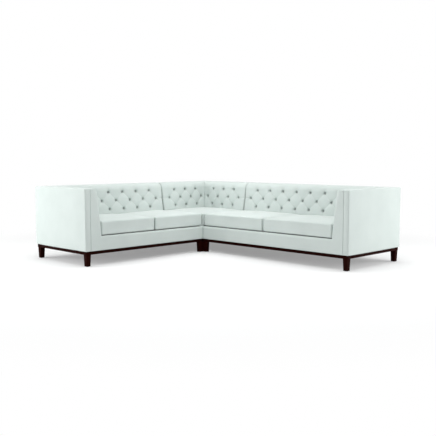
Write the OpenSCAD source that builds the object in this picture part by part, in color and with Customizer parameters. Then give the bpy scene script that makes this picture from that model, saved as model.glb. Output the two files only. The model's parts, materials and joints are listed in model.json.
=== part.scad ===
// Two-module corner sofa with tufted backs and loose box cushions.
// Origin: centre of the floor rectangle that the sofa covers. +X runs along the right wing,
// -Y along the left wing, +Z up. The outer corner of the two backs is at the -X, +Y corner.

/* [Overall] */
// Outer corner to the outer face of the right arm
right_len = 2951; // [2600:1:3300]
// Outer corner to the outer face of the left arm
left_len = 2563; // [2300:1:2900]
// Depth of a wing, outer back to front
depth = 950; // [900:1:1050]
// Height of the backs and arms
height = 783; // [760:1:840]

/* [Arms] */
// Width of an arm
arm_w = 192; // [150:1:220]
// Width of the crisp outer slab of an arm
slab_w = 62; // [55:1:80]
// Radius of the arm pad's front edge
arm_round = 55; // [20:1:70]

/* [Backs] */
// Outer back to the face of the tufted pad, at the seat
back_depth = 257; // [230:1:280]
// Lean of the tufted face above the seat, in degrees
back_lean = 8.5; // [0:0.5:12]
// Radius of the pads' top inner edge
top_round = 65; // [30:1:80]
// Padding above the back frame
top_pad = 48; // [30:1:60]
// Outer cover and board of the backs, the seat rails and the end panels
cover_t = 20; // [12:1:25]

/* [Tufting] */
// Distance between buttons in a row of a wing
pitch = 199; // [160:1:240]
// Distance between buttons in a row of a corner pad
corner_pitch = 182; // [160:1:200]
// Height between two rows
row_step = 97; // [80:1:100]
// Drop of the top row below the top of the back
row_drop = 88; // [80:1:110]
// Depth of the pad at a button
tuft_depth = 30; // [15:1:40]
// Depth of the diagonal pleats
pleat_depth = 12; // [4:1:14]
// Depth of the pads at their end seams
seam_depth = 8; // [1:1:12]
// Depth of the corner pads at the crease between them
crease_depth = 20; // [12:1:24]
// Radius of a covered button
button_r = 11; // [8:1:14]
// Thickness of a covered button
button_t = 7; // [5:1:10]
// Module joint to the first button of the left wing
left_tuft_margin = 98; // [60:1:120]
// Corner seam to the first button of the right wing
right_tuft_margin = 87; // [60:1:120]
// Corner seams to the nearest buttons of the corner pads
corner_tuft_margin = 121; // [90:1:140]
// Least distance from the last button to an arm
arm_tuft_margin = 100; // [60:1:140]

/* [Seats] */
// Height of the upholstered seat rail
seat_rail_h = 154; // [140:1:180]
// Height of a cushion's boxed side
cushion_h = 139; // [110:1:160]
// Rise of a cushion's crown above its boxed side
crown = 22; // [8:1:35]
// Corner radius of a cushion seen from above
cushion_corner = 24; // [12:1:40]
// Radius of a cushion's long edges
cushion_edge = 13; // [8:1:20]
// Pull of a cushion's sides between their corners
side_pull = 4; // [1:1:8]
// Gap beside a cushion
cushion_gap = 2; // [1:0.5:6]
// Gap between a resting cushion and its deck
rest_gap = 0.3; // [0.1:0.1:1]

/* [Base] */
// Floor to the underside of the plinth
clearance = 120; // [90:1:160]
// Height of the plinth rails
plinth_h = 34; // [25:1:50]
// Width of the plinth rails seen from above
plinth_w = 45; // [40:1:60]
// Plinth set back from the upholstery
plinth_inset = 12; // [0:1:25]
// Leg set back from the front or the back of the upholstery
leg_inset = 12; // [5:1:20]
// Leg set back from the end of a module
leg_end_inset = 16; // [5:1:25]
// Side of a leg at its top
leg_top = 53; // [40:1:65]
// Side of a leg at its foot
leg_foot = 44; // [32:1:50]
// Thickness of a felt glide
glide_t = 3; // [2:1:6]
// Radius of a felt glide
glide_r = 14; // [10:1:15]
// Gap between the two modules
module_gap = 1; // [0.5:0.5:4]

/* [Frame] */
// Thickness of the hardwood frame
frame_t = 45; // [35:1:50]
// Height of the base rails
base_h = 96; // [80:1:110]
// Ledger behind the back frame that carries the webbing
ledger = 25; // [15:1:40]
// Thickness of the cross rails
cross_t = 30; // [20:1:40]
// Greatest distance between cross rails
cross_step = 560; // [400:10:700]
// Greatest distance between back posts
post_step = 480; // [350:10:600]
// Height of the tack rail above the seat deck
tack_rise = 60; // [20:1:100]
// Width of a webbing strap
strap_w = 70; // [50:1:80]
// Thickness of a webbing strap
strap_t = 3; // [2:0.5:4]
// Distance between front-to-back straps
strap_step = 180; // [120:10:240]
// Number of lengthwise straps
long_straps = 4; // [2:1:5]
// Thickness of the dust covers
dust_t = 2; // [1:0.5:4]

/* [Fixings] */
// Radius of a leg bolt
bolt_r = 4; // [3:0.5:6]
// Depth of a leg bolt in the leg
bolt_in_leg = 50; // [30:1:60]
// Depth of a leg bolt in the plinth
bolt_in_plinth = 24; // [15:1:24]
// Radius of a joining pin
pin_r = 8; // [6:0.5:10]
// Wall of a pin socket
socket_wall = 3.5; // [2:0.5:5]
// Running clearance round a joining pin in its socket
pin_play = 0.5; // [0.3:0.1:1]
// Clearance round a fixed bolt, pin or socket
fixed_fit = 0.1; // [0.05:0.05:0.3]
// Pins set in from the front and the back
pin_inset = 240; // [180:10:320]

/* [Hidden] */

fabric = [0.89, 0.94, 0.92];
stained_wood = [0.10, 0.05, 0.04];
hardwood = [0.76, 0.60, 0.42];
webbing = [0.25, 0.25, 0.27];
cloth_black = [0.12, 0.12, 0.13];
steel = [0.62, 0.63, 0.65];
felt = [0.45, 0.43, 0.40];

$fn = 48;

plinth_top = clearance + plinth_h;
seat_top = plinth_top + seat_rail_h;
base_top = plinth_top + base_h;
strap_top = base_top + 2 * strap_t;
frame_back = cover_t + frame_t;
frame_top = height - top_pad;
front_rail_v = depth - cover_t - frame_t;
left_start = depth + module_gap;

// A wing is drawn with u along its length from the outer corner, v from its outer back to its
// front, and z up. Both wings share the outer corner.
module right_wing() translate([-right_len / 2, left_len / 2, 0]) mirror([0, 1, 0]) children();
module left_wing() translate([-right_len / 2, left_len / 2, 0]) rotate([0, 0, -90]) children();

module box(u0, u1, v0, v1, z0, z1) translate([u0, v0, z0]) cube([u1 - u0, v1 - v0, z1 - z0]);

// Legs, glides and bolts stand at the corners of each module. At the sofa's inner corner a leg of
// each module stands under the end of its wing, flush with the seat rail, so that the two meet
// corner to corner, and a third fills the corner behind them. Their bolts stay inside the plinth.
leg_mid = leg_inset + leg_top / 2;
leg_end_mid = leg_end_inset + leg_top / 2;
pair_mid = max(leg_top / 2, plinth_inset + plinth_w / 4);
pair_spot = [left_start + pair_mid, depth - pair_mid];
corner_spots = [
    [leg_mid, leg_mid],
    [leg_mid, depth - leg_end_mid],
    pair_spot,
    [right_len - leg_end_mid, leg_mid],
    [right_len - leg_end_mid, depth - leg_mid],
    [depth - pair_mid, depth - pair_mid]
];
left_spots = [
    [left_start + leg_end_mid, leg_mid],
    pair_spot,
    [left_len - leg_end_mid, leg_mid],
    [left_len - leg_end_mid, depth - leg_mid]
];

module leg(spot) color(stained_wood) difference() {
    translate([spot[0], spot[1], glide_t]) linear_extrude(clearance - glide_t, scale = leg_top / leg_foot)
        square(leg_foot, center = true);
    translate([spot[0], spot[1], clearance - bolt_in_leg - 1])
        cylinder(r = bolt_r + fixed_fit, h = bolt_in_leg + 2);
}

module glides(spots) color(felt) for (s = spots) translate([s[0], s[1], 0])
    cylinder(r = glide_r, h = glide_t);

module leg_bolts(spots) color(steel) for (s = spots) translate([s[0], s[1], clearance - bolt_in_leg])
    cylinder(r = bolt_r, h = bolt_in_leg + bolt_in_plinth);

// Plinth: straight lengths of stained wood under each module, drilled for the leg bolts.
module plinth_length(u0, u1, v0, v1, spots) color(stained_wood) difference() {
    box(u0, u1, v0, v1, clearance, plinth_top);
    for (s = spots) translate([s[0], s[1], clearance - 1])
        cylinder(r = bolt_r + fixed_fit, h = bolt_in_plinth + 2);
}

plinth_in = plinth_inset + plinth_w;
module plinth_long(u0, u1, front, spots) plinth_length(u0 + plinth_inset, u1 - plinth_inset,
    front ? depth - plinth_in : plinth_inset, front ? depth - plinth_inset : plinth_in, spots);
module plinth_end(u0) plinth_length(u0, u0 + plinth_w, plinth_in, depth - plinth_in, []);

module corner_plinth_front() right_wing()
    plinth_long(0, right_len, true, [for (i = [1, 2, 4, 5]) corner_spots[i]]);
module corner_plinth_back() right_wing()
    plinth_long(0, right_len, false, [corner_spots[0], corner_spots[3]]);
module corner_plinth_return() right_wing() plinth_end(plinth_inset);
module corner_plinth_arm_end() right_wing() plinth_end(right_len - plinth_in);
module left_plinth_front() left_wing()
    plinth_long(left_start, left_len, true, [left_spots[1], left_spots[3]]);
module left_plinth_back() left_wing()
    plinth_long(left_start, left_len, false, [left_spots[0], left_spots[2]]);
module left_plinth_joint_end() left_wing() plinth_end(left_start + plinth_inset);
module left_plinth_arm_end() left_wing() plinth_end(left_len - plinth_in);

module leg_outer_corner() right_wing() leg(corner_spots[0]);
module leg_joint_back() right_wing() leg(corner_spots[1]);
module leg_inner_corner() right_wing() leg(corner_spots[2]);
module leg_right_back() right_wing() leg(corner_spots[3]);
module leg_right_front() right_wing() leg(corner_spots[4]);
module leg_behind_pair() right_wing() leg(corner_spots[5]);
module leg_left_joint_back() left_wing() leg(left_spots[0]);
module leg_left_joint_front() left_wing() leg(left_spots[1]);
module leg_left_back() left_wing() leg(left_spots[2]);
module leg_left_front() left_wing() leg(left_spots[3]);
module corner_glides() right_wing() glides(corner_spots);
module left_glides() left_wing() glides(left_spots);
module corner_leg_bolts() right_wing() leg_bolts(corner_spots);
module left_leg_bolts() left_wing() leg_bolts(left_spots);

// Joining pins stand out of the left module's end and enter sockets in the corner module.
pin_z = plinth_top + base_h / 2;
socket_in = depth - cover_t - frame_t;
pin_tip = socket_in + frame_t / 4;
module at_pins() for (v = [pin_inset, depth - pin_inset])
    translate([0, v, pin_z]) rotate([0, 90, 0]) children();
module pin_holes(r) at_pins() translate([0, 0, socket_in - frame_t])
    cylinder(r = r, h = 4 * frame_t + 2 * cover_t);

module joining_pins() color(steel) left_wing() at_pins() translate([0, 0, pin_tip])
    cylinder(r = pin_r, h = left_start + cover_t + frame_t - pin_tip);

socket_r = pin_r + pin_play + socket_wall;
module pin_sockets() color(steel) left_wing() at_pins() translate([0, 0, socket_in]) difference() {
    cylinder(r = socket_r, h = frame_t + cover_t);
    translate([0, 0, -1]) cylinder(r = pin_r + pin_play, h = frame_t + cover_t + 2);
}

// Base frames: long rails front and back, end rails and evenly spaced cross rails.
module base_rails(u0, u1, end_left) {
    box(u0, u1, cover_t, frame_back + ledger, plinth_top, base_top);
    box(u0, u1, front_rail_v, depth - cover_t, plinth_top, base_top);
    box(u0, u0 + end_left, frame_back + ledger, front_rail_v, plinth_top, base_top);
    bays = ceil((u1 - u0) / cross_step);
    for (i = [1 : bays]) let (u = u0 + i * (u1 - u0) / bays - (i == bays ? cross_t : cross_t / 2))
        box(u, u + cross_t, frame_back + ledger, front_rail_v, plinth_top, base_top - 2 * strap_t);
}

module corner_base_frame() color(hardwood) difference() {
    right_wing() base_rails(cover_t, right_len - slab_w, frame_t + ledger);
    left_wing() pin_holes(socket_r + fixed_fit);
}

module left_base_frame() color(hardwood) left_wing() difference() {
    base_rails(left_start + cover_t, left_len - slab_w, frame_t);
    pin_holes(pin_r + fixed_fit);
}

// Back frames: posts on the base rail, a tack rail above the deck and a top rail.
module back_frame(u0, u1) {
    box(u0, u1, cover_t, frame_back, frame_top - frame_t, frame_top);
    box(u0, u1, cover_t, frame_back, seat_top + tack_rise, seat_top + tack_rise + frame_t);
    bays = ceil((u1 - u0) / post_step);
    for (i = [0 : bays]) let (u = u0 + i * (u1 - u0 - frame_t) / bays)
        box(u, u + frame_t, cover_t, frame_back, base_top, frame_top);
}

module corner_back_frame() color(hardwood) {
    right_wing() back_frame(cover_t, right_len - arm_w);
    left_wing() back_frame(frame_back, depth - cover_t);
}
module left_back_frame() color(hardwood) left_wing() back_frame(left_start + cover_t, left_len - arm_w);

// Arm frames stand inside the hollow of the outer slabs.
slab_wall = slab_w - frame_t;
module arm_frame(len) color(hardwood) {
    u0 = len - slab_w;
    v0 = slab_wall;
    v1 = depth - slab_wall;
    top = height - slab_wall;
    box(u0, u0 + frame_t, v0, v1, plinth_top, base_top);
    box(u0, u0 + frame_t, v0, v1, top - frame_t, top);
    for (v = [v0, (v0 + v1 - frame_t) / 2, v1 - frame_t])
        box(u0, u0 + frame_t, v, v + frame_t, base_top, top - frame_t);
}
module right_arm_frame() right_wing() arm_frame(right_len);
module left_arm_frame() left_wing() arm_frame(left_len);

module arm_slab(len) color(fabric) difference() {
    box(len - slab_w, len, 0, depth, plinth_top, height);
    box(len - slab_w - 1, len - slab_wall, slab_wall, depth - slab_wall, plinth_top - 1, height - slab_wall);
}
module right_arm_slab() right_wing() arm_slab(right_len);
module left_arm_slab() left_wing() arm_slab(left_len);

// A rectangle with its lower left corner at p, its far right edge square and one corner rounded.
module one_round(w, h, r) {
    translate([r, 0]) square([w - r, h]);
    square([w, h - r]);
    translate([r, h - r]) circle(r);
}

// Arm pads: rounded along the top inner edge and down the front inner edge, and meeting the
// back's rounded top in the inside corner.
module arm_pad(len) color(fabric) {
    u0 = len - arm_w;
    w = arm_w - slab_w;
    pad_h = height - seat_top;
    intersection() {
        translate([u0, depth, seat_top]) rotate([90, 0, 0]) linear_extrude(depth - cover_t)
            one_round(w, pad_h, top_round);
        translate([u0, cover_t, seat_top]) linear_extrude(pad_h) one_round(w, depth - cover_t, arm_round);
    }
    face = back_depth - lean(height - top_round);
    translate([u0, face, seat_top]) rotate([90, 0, 90]) linear_extrude(w)
        mirror([1, 0]) one_round(face - cover_t, pad_h, top_round);
}
module right_arm_pad() right_wing() arm_pad(right_len);
module left_arm_pad() left_wing() arm_pad(left_len);

// Webbing straps lie on the rails, front to back first, lengthwise on top.
module webbing_straps(u0, u1) color(webbing) {
    count = floor((u1 - u0 - strap_w) / strap_step);
    for (i = [0 : count]) let (u = u0 + i * (u1 - u0 - strap_w) / count)
        box(u, u + strap_w, frame_back, depth - cover_t, base_top, base_top + strap_t);
    reach = front_rail_v - frame_back - ledger - strap_w;
    for (i = [1 : long_straps]) let (v = frame_back + ledger + i * reach / (long_straps + 1))
        box(u0, u1, v, v + strap_w, base_top + strap_t, strap_top);
}
module corner_webbing() right_wing() webbing_straps(frame_back, right_len - slab_w);
module left_webbing() left_wing() webbing_straps(left_start + cover_t, left_len - slab_w);

module corner_deck() color(fabric) right_wing()
    box(frame_back, right_len - slab_w, frame_back, depth - cover_t, strap_top, seat_top);
module left_deck() color(fabric) left_wing()
    box(left_start + cover_t, left_len - slab_w, frame_back, depth - cover_t, strap_top, seat_top);

module dust_cover(u0, u1) color(cloth_black)
    box(u0 + plinth_in, u1 - plinth_in, plinth_in, depth - plinth_in, plinth_top - dust_t, plinth_top);
module corner_dust_cover() right_wing() dust_cover(0, right_len);
module left_dust_cover() left_wing() dust_cover(left_start, left_len);

// Outer covers of the backs, the seat rails and the two ends that meet.
module back_panel(u0, u1) color(fabric) box(u0, u1, 0, cover_t, plinth_top, height);
module long_back_panel() right_wing() back_panel(0, right_len - slab_w);
module return_back_panel() left_wing() back_panel(cover_t, depth);
module left_back_panel() left_wing() back_panel(left_start, left_len - slab_w);

module seat_rail(u0, u1) color(fabric) box(u0, u1, depth - cover_t, depth, plinth_top, seat_top);
module right_seat_rail() right_wing() seat_rail(depth, right_len - slab_w);
module left_seat_rail() left_wing() seat_rail(left_start, left_len - slab_w);

module end_panel(u0, v1, hole_r) color(fabric) left_wing() difference() {
    union() {
        box(u0, u0 + cover_t, cover_t, v1, plinth_top, seat_top);
        box(u0, u0 + cover_t, cover_t, frame_back, seat_top, frame_top);
    }
    pin_holes(hole_r);
}
module corner_end_panel() end_panel(depth - cover_t, depth, socket_r + fixed_fit);
module left_end_panel() end_panel(left_start, depth - cover_t, pin_r + fixed_fit);

// Tufting. Buttons lie on a diamond lattice; a and b count its diagonals, so both are whole
// numbers at a button and one of them is whole along a pleat.
row_top = height - row_drop;
row_mid = row_top - row_step;
row_low = row_mid - row_step;
lean_base = row_low - row_step / 2;
function lean(z) = tan(back_lean) * max(0, z - lean_base);
function clamp01(x) = min(1, max(0, x));
function lattice_depth(t, s) = let (a = t + s / 2, b = t - s / 2,
    pillow = sqrt(abs(sin(180 * a) * sin(180 * b))),
    pull = pow(abs(cos(180 * a) * cos(180 * b)), 3))
    [pleat_depth * (1 - pillow), (tuft_depth - pleat_depth) * pull];
function tuft(u, z, first, last, gap) = let (
    s = (min(row_top, max(row_low, z)) - row_mid) / row_step,
    d = lattice_depth((u - first) / gap, s),
    off_u = max(first - u, u - last, 0),
    off_z = max(row_low - z, z - row_top, 0))
    (d[0] * clamp01(1 - off_z / row_drop) + d[1] * clamp01(1 - 2 * off_z / row_step))
        * clamp01(1 - 2 * off_u / gap);

// Height steps of a pad's face, bottom to the start of its rounded top.
face_levels = concat([seat_top, (seat_top + row_low) / 2], [for (i = [-1 : 4]) row_low + i * row_step / 2],
    [max(row_top + 5, height - top_round)]);
round_steps = 4;

// One closed outline of a back pad at u, as [v, z] from the reentrant corner over the frame. At an
// end the face is drawn in by seam, and elsewhere it is tufted. Above the seat it leans back.
function pad_outline(u, first, last, gap, seam) = let (
    face = function (z) seam > 0 ? seam : tuft(u, z, first, last, gap),
    r = height - face_levels[len(face_levels) - 1])
    concat([[frame_back, frame_top], [cover_t, frame_top], [cover_t, height]],
        [for (i = [0 : round_steps - 1]) let (q = 90 * i / round_steps, z = height - r + r * cos(q))
            [back_depth - lean(z) - r + r * sin(q) - face(z) * sin(q), z]],
        [for (i = [len(face_levels) - 1 : -1 : 0]) let (z = face_levels[i])
            [back_depth - lean(z) - face(z), z]],
        [[frame_back, seat_top]]);

// Rings of a pad: its two ends and every quarter pitch between them.
function quarter_steps(u0, u1, first, gap) = let (q = gap / 4, clear = 14)
    [for (k = [ceil((u0 + clear - first) / q) : floor((u1 - clear - first) / q)]) first + k * q];

// Closed skin over rings of equal length, each end closed by a fan from its first point. Every
// other square is cut along its other diagonal, so that the cuts follow the pleats.
function skin_faces(rings, n, phase) = concat(
    [for (i = [0 : rings - 2], j = [0 : n - 1]) let (a = i * n + j, b = i * n + (j + 1) % n)
        each ((i + j + phase) % 2 == 0 ? [[a, b, a + n], [b, b + n, a + n]]
            : [[a, b, b + n], [a, b + n, a + n]])],
    [for (j = [1 : n - 2]) let (last = (rings - 1) * n)
        each [[0, j + 1, j], [last, last + j, last + j + 1]]]);

module back_pad(u0, u1, first, last, gap, mitred) color(fabric) {
    inner = quarter_steps(mitred ? back_depth : u0, u1, first, gap);
    phase = round(4 * (inner[0] - first) / gap);
    start = [for (p = pad_outline(u0, first, last, gap, mitred ? crease_depth : seam_depth))
        [mitred ? p[0] : u0, p[0], p[1]]];
    middle = [for (u = inner, p = pad_outline(u, first, last, gap, 0)) [u, p[0], p[1]]];
    finish = [for (p = pad_outline(u1, first, last, gap, seam_depth)) [u1, p[0], p[1]]];
    n = len(start);
    polyhedron(concat(start, middle, finish), skin_faces(len(inner) + 2, n, phase));
}

// First and last middle-row buttons of each stretch of back.
function last_button(first, limit) = first + pitch * floor((limit - first) / pitch);
left_first = left_start + left_tuft_margin;
left_last = last_button(left_first, left_len - arm_w - arm_tuft_margin);
right_first = depth + right_tuft_margin;
right_last = last_button(right_first, right_len - arm_w - arm_tuft_margin);
corner_last = depth - corner_tuft_margin;
corner_first = corner_last - corner_pitch * floor((corner_last - back_depth - button_r) / corner_pitch);

module corner_pad() back_pad(0, depth, corner_first, corner_last, corner_pitch, true);
module corner_left_back_pad() left_wing() corner_pad();
module corner_right_back_pad() right_wing() corner_pad();
module right_wing_back_pad() right_wing()
    back_pad(depth, right_len - arm_w, right_first, right_last, pitch, false);
module left_wing_back_pad() left_wing()
    back_pad(left_start, left_len - arm_w, left_first, left_last, pitch, false);

// Covered buttons sit on the sides of their dimples, whose slope runs to the next mesh points, and
// lean with the pad. Each row's margin makes up for the steepest of its dimples.
near_depth = lattice_depth(0.25, 0)[0] + lattice_depth(0.25, 0)[1];
function dimple_slope(gap) = norm([tuft_depth - near_depth, pleat_depth - near_depth])
    / min(gap / 4, row_step / 2);
middle_row_margin = 1.05;
outer_row_margin = 1.18;
module button() rotate([back_lean - 90, 0, 0]) rotate_extrude($fn = 24) polygon([
    [0, 0], [button_r, 0], [button_r, button_t / 3], [button_r * 0.6, button_t * 0.85], [0, button_t]]);
module button_row(first, count, gap, z, margin) {
    lift = button_r * dimple_slope(gap) * margin + rest_gap;
    v = back_depth - lean(z) - tuft_depth + lift * cos(back_lean);
    for (i = [0 : count - 1]) translate([first + i * gap, v, z + lift * sin(back_lean)]) button();
}
module buttons(first, last, gap) color(fabric) {
    gaps = round((last - first) / gap);
    button_row(first, gaps + 1, gap, row_mid, middle_row_margin);
    for (z = [row_low, row_top]) button_row(first + gap / 2, gaps, gap, z, outer_row_margin);
}
module corner_left_buttons() left_wing() buttons(corner_first, corner_last, corner_pitch);
module corner_right_buttons() right_wing() buttons(corner_first, corner_last, corner_pitch);
module right_wing_buttons() right_wing() buttons(right_first, right_last, pitch);
module left_wing_buttons() left_wing() buttons(left_first, left_last, pitch);

// Cushions: a rounded rectangle whose sides pull in between the corners, skinned over levels.
corner_steps = 3;
side_steps = 4;
function plan_ring(w, d, r, pull) = [for (k = [0 : 3]) let (
    c = [(k == 0 || k == 3 ? 1 : -1) * (w / 2 - r), (k < 2 ? 1 : -1) * (d / 2 - r)],
    e = [(k == 0 || k == 1 ? -1 : 1) * (w / 2 - r), (k == 0 || k == 3 ? 1 : -1) * (d / 2 - r)],
    n = [cos(90 * k + 90), sin(90 * k + 90)])
    each concat([for (i = [0 : corner_steps]) let (q = 90 * (k + i / corner_steps))
            c + r * [cos(q), sin(q)]],
        [for (j = [1 : side_steps - 1]) let (t = j / side_steps)
            c + (e - c) * t + n * (r - pull * sin(180 * t))])];

// Levels as [inset, height, share of the side pull].
function cushion_levels(short_side) = let (rise = function (x) cushion_h + crown * sin(90 * x)) [
    [cushion_edge, 0, 0],
    [cushion_edge * 0.3, cushion_edge * 0.3, 0.5],
    [0, cushion_edge, 1],
    [0, cushion_h / 2, 1],
    [0, cushion_h - cushion_edge, 1],
    [cushion_edge * 0.3, cushion_h - cushion_edge * 0.3, 1],
    [cushion_edge, cushion_h, 0.7],
    [short_side * 0.08, rise(0.4), 0.3],
    [short_side * 0.19, rise(0.7), 0],
    [short_side * 0.33, rise(0.9), 0]
];

module cushion(u0, u1, v0, v1) color(fabric) {
    w = u1 - u0;
    d = v1 - v0;
    levels = cushion_levels(min(w, d));
    n = 4 * (corner_steps + side_steps);
    rings = len(levels);
    body = [for (l = levels, p = plan_ring(w - 2 * l[0], d - 2 * l[0],
        max(cushion_corner - l[0], 8), side_pull * l[2])) [p[0], p[1], l[1]]];
    walls = [for (i = [0 : rings - 2], j = [0 : n - 1]) let (a = i * n + j, b = i * n + (j + 1) % n)
        each [[a, b + n, b], [a, a + n, b + n]]];
    foot = [for (j = [0 : n - 1]) [rings * n, j, (j + 1) % n]];
    top = [for (j = [0 : n - 1]) let (a = (rings - 1) * n) [rings * n + 1, a + (j + 1) % n, a + j]];
    translate([(u0 + u1) / 2, (v0 + v1) / 2, seat_top + rest_gap])
        polyhedron(concat(body, [[0, 0, 0], [0, 0, cushion_h + crown]]), concat(walls, foot, top));
}

module seat(u0, u1) cushion(u0 + cushion_gap, u1 - cushion_gap, back_depth + cushion_gap, depth);
right_mid = (depth + right_len - arm_w) / 2;
left_mid = (left_start + left_len - arm_w) / 2;
module corner_seat_cushion() right_wing() cushion(back_depth + cushion_gap, depth - cushion_gap,
    back_depth + cushion_gap, depth - cushion_gap);
module right_inner_cushion() right_wing() seat(depth, right_mid);
module right_outer_cushion() right_wing() seat(right_mid, right_len - arm_w);
module left_inner_cushion() left_wing() seat(left_start, left_mid);
module left_outer_cushion() left_wing() seat(left_mid, left_len - arm_w);

corner_plinth_front();
corner_plinth_back();
corner_plinth_return();
corner_plinth_arm_end();
left_plinth_front();
left_plinth_back();
left_plinth_arm_end();
left_plinth_joint_end();
leg_outer_corner();
leg_joint_back();
leg_inner_corner();
leg_right_back();
leg_right_front();
leg_behind_pair();
leg_left_joint_back();
leg_left_joint_front();
leg_left_back();
leg_left_front();
corner_glides();
left_glides();
corner_leg_bolts();
left_leg_bolts();
corner_base_frame();
left_base_frame();
corner_back_frame();
left_back_frame();
right_arm_frame();
left_arm_frame();
corner_webbing();
left_webbing();
corner_deck();
left_deck();
corner_dust_cover();
left_dust_cover();
long_back_panel();
return_back_panel();
left_back_panel();
right_arm_slab();
left_arm_slab();
right_arm_pad();
left_arm_pad();
right_seat_rail();
left_seat_rail();
corner_end_panel();
left_end_panel();
corner_left_back_pad();
corner_right_back_pad();
right_wing_back_pad();
left_wing_back_pad();
corner_left_buttons();
corner_right_buttons();
right_wing_buttons();
left_wing_buttons();
corner_seat_cushion();
right_inner_cushion();
right_outer_cushion();
left_inner_cushion();
left_outer_cushion();
joining_pins();
pin_sockets();
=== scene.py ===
import functools
import json
import math

import bmesh
import bpy
import numpy as np
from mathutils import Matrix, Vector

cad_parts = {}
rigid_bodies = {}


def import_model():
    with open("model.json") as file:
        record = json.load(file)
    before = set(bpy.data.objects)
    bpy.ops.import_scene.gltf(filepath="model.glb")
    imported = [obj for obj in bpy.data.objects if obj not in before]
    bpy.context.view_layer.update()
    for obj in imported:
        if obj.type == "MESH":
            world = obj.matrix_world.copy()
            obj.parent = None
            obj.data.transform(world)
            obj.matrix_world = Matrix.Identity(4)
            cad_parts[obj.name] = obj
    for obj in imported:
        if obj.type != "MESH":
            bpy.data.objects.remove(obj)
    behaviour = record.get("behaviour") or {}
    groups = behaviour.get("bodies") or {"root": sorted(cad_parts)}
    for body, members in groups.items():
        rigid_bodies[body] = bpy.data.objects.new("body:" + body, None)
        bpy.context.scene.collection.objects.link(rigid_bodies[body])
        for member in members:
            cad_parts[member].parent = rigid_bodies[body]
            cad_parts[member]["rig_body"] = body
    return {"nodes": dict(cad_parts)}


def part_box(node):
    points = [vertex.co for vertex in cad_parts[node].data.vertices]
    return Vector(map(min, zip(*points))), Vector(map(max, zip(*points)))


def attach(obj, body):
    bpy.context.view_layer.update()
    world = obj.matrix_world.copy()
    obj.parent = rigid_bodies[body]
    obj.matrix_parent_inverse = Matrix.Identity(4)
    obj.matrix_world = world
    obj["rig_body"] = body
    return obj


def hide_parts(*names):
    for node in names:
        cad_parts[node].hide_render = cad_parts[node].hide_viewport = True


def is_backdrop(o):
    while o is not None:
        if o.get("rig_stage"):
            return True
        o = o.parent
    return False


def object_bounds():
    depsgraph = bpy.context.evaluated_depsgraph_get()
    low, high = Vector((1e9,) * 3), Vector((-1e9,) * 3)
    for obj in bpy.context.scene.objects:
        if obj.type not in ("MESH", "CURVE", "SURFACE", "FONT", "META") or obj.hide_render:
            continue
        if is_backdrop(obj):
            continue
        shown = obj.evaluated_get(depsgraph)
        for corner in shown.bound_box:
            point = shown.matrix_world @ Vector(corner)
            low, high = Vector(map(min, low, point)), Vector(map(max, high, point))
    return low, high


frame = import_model()
cad_low, cad_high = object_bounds()

# The camera stands on the sofa's diagonal, a little above the arms, and looks slightly down, as in
# the photograph. Its place, tilt and lens were fitted to corners, edges and buttons seen there.
def new_object(name, data):
    made = bpy.data.objects.new(name, data)
    bpy.context.scene.collection.objects.link(made)
    return made


camera_place = (5.1155, -5.0775, 1.085)
camera_tilt, camera_turn = math.radians(84.95), math.radians(44.92)
camera_data = bpy.data.cameras.new("camera")
camera_data.sensor_width = 36
camera_data.lens = 55.87
camera = new_object("camera", camera_data)
camera.location = camera_place
camera.rotation_euler = (camera_tilt, 0, camera_turn)
bpy.context.scene.camera = camera
bpy.context.scene.view_settings.view_transform = "Standard"


# The studio: a white floor and a white world, a broad light overhead, two low ones left and right
# that leave the inside of the sofa in softer light, and two faint ones from the front.
def add(tree, kind, inputs=(), **settings):
    """Adds a node to a tree. Its inputs, by name or number, are values or other nodes' sockets."""
    made = tree.nodes.new(kind)
    for key, value in settings.items():
        setattr(made, key, value)
    for key, value in dict(inputs).items():
        if isinstance(value, bpy.types.NodeSocket):
            tree.links.new(value, made.inputs[key])
        else:
            made.inputs[key].default_value = value
    return made


def calculate(tree, operation, *values):
    """The result of one step of arithmetic in a tree."""
    return add(tree, "ShaderNodeMath", dict(enumerate(values)), operation=operation).outputs[0]


def seen_directly(tree):
    """1 for rays from the camera, mirror-like reflections and glass, and 0 for all others."""
    path = add(tree, "ShaderNodeLightPath").outputs
    either = calculate(tree, "MAXIMUM", path["Is Camera Ray"], path["Is Glossy Ray"])
    return calculate(tree, "MAXIMUM", either, path["Is Transmission Ray"])


def empty_tree(owner):
    owner.use_nodes = True
    owner.node_tree.nodes.clear()
    return owner.node_tree


def white_world(ambient):
    world = bpy.data.worlds.new("white studio")
    bpy.context.scene.world = world
    tree = empty_tree(world)
    strength = add(tree, "ShaderNodeMapRange", {0: seen_directly(tree), 3: ambient, 4: 1.0})
    light = add(tree, "ShaderNodeBackground", {"Color": (1, 1, 1, 1), "Strength": strength.outputs[0]})
    add(tree, "ShaderNodeOutputWorld", {"Surface": light.outputs[0]})


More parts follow.
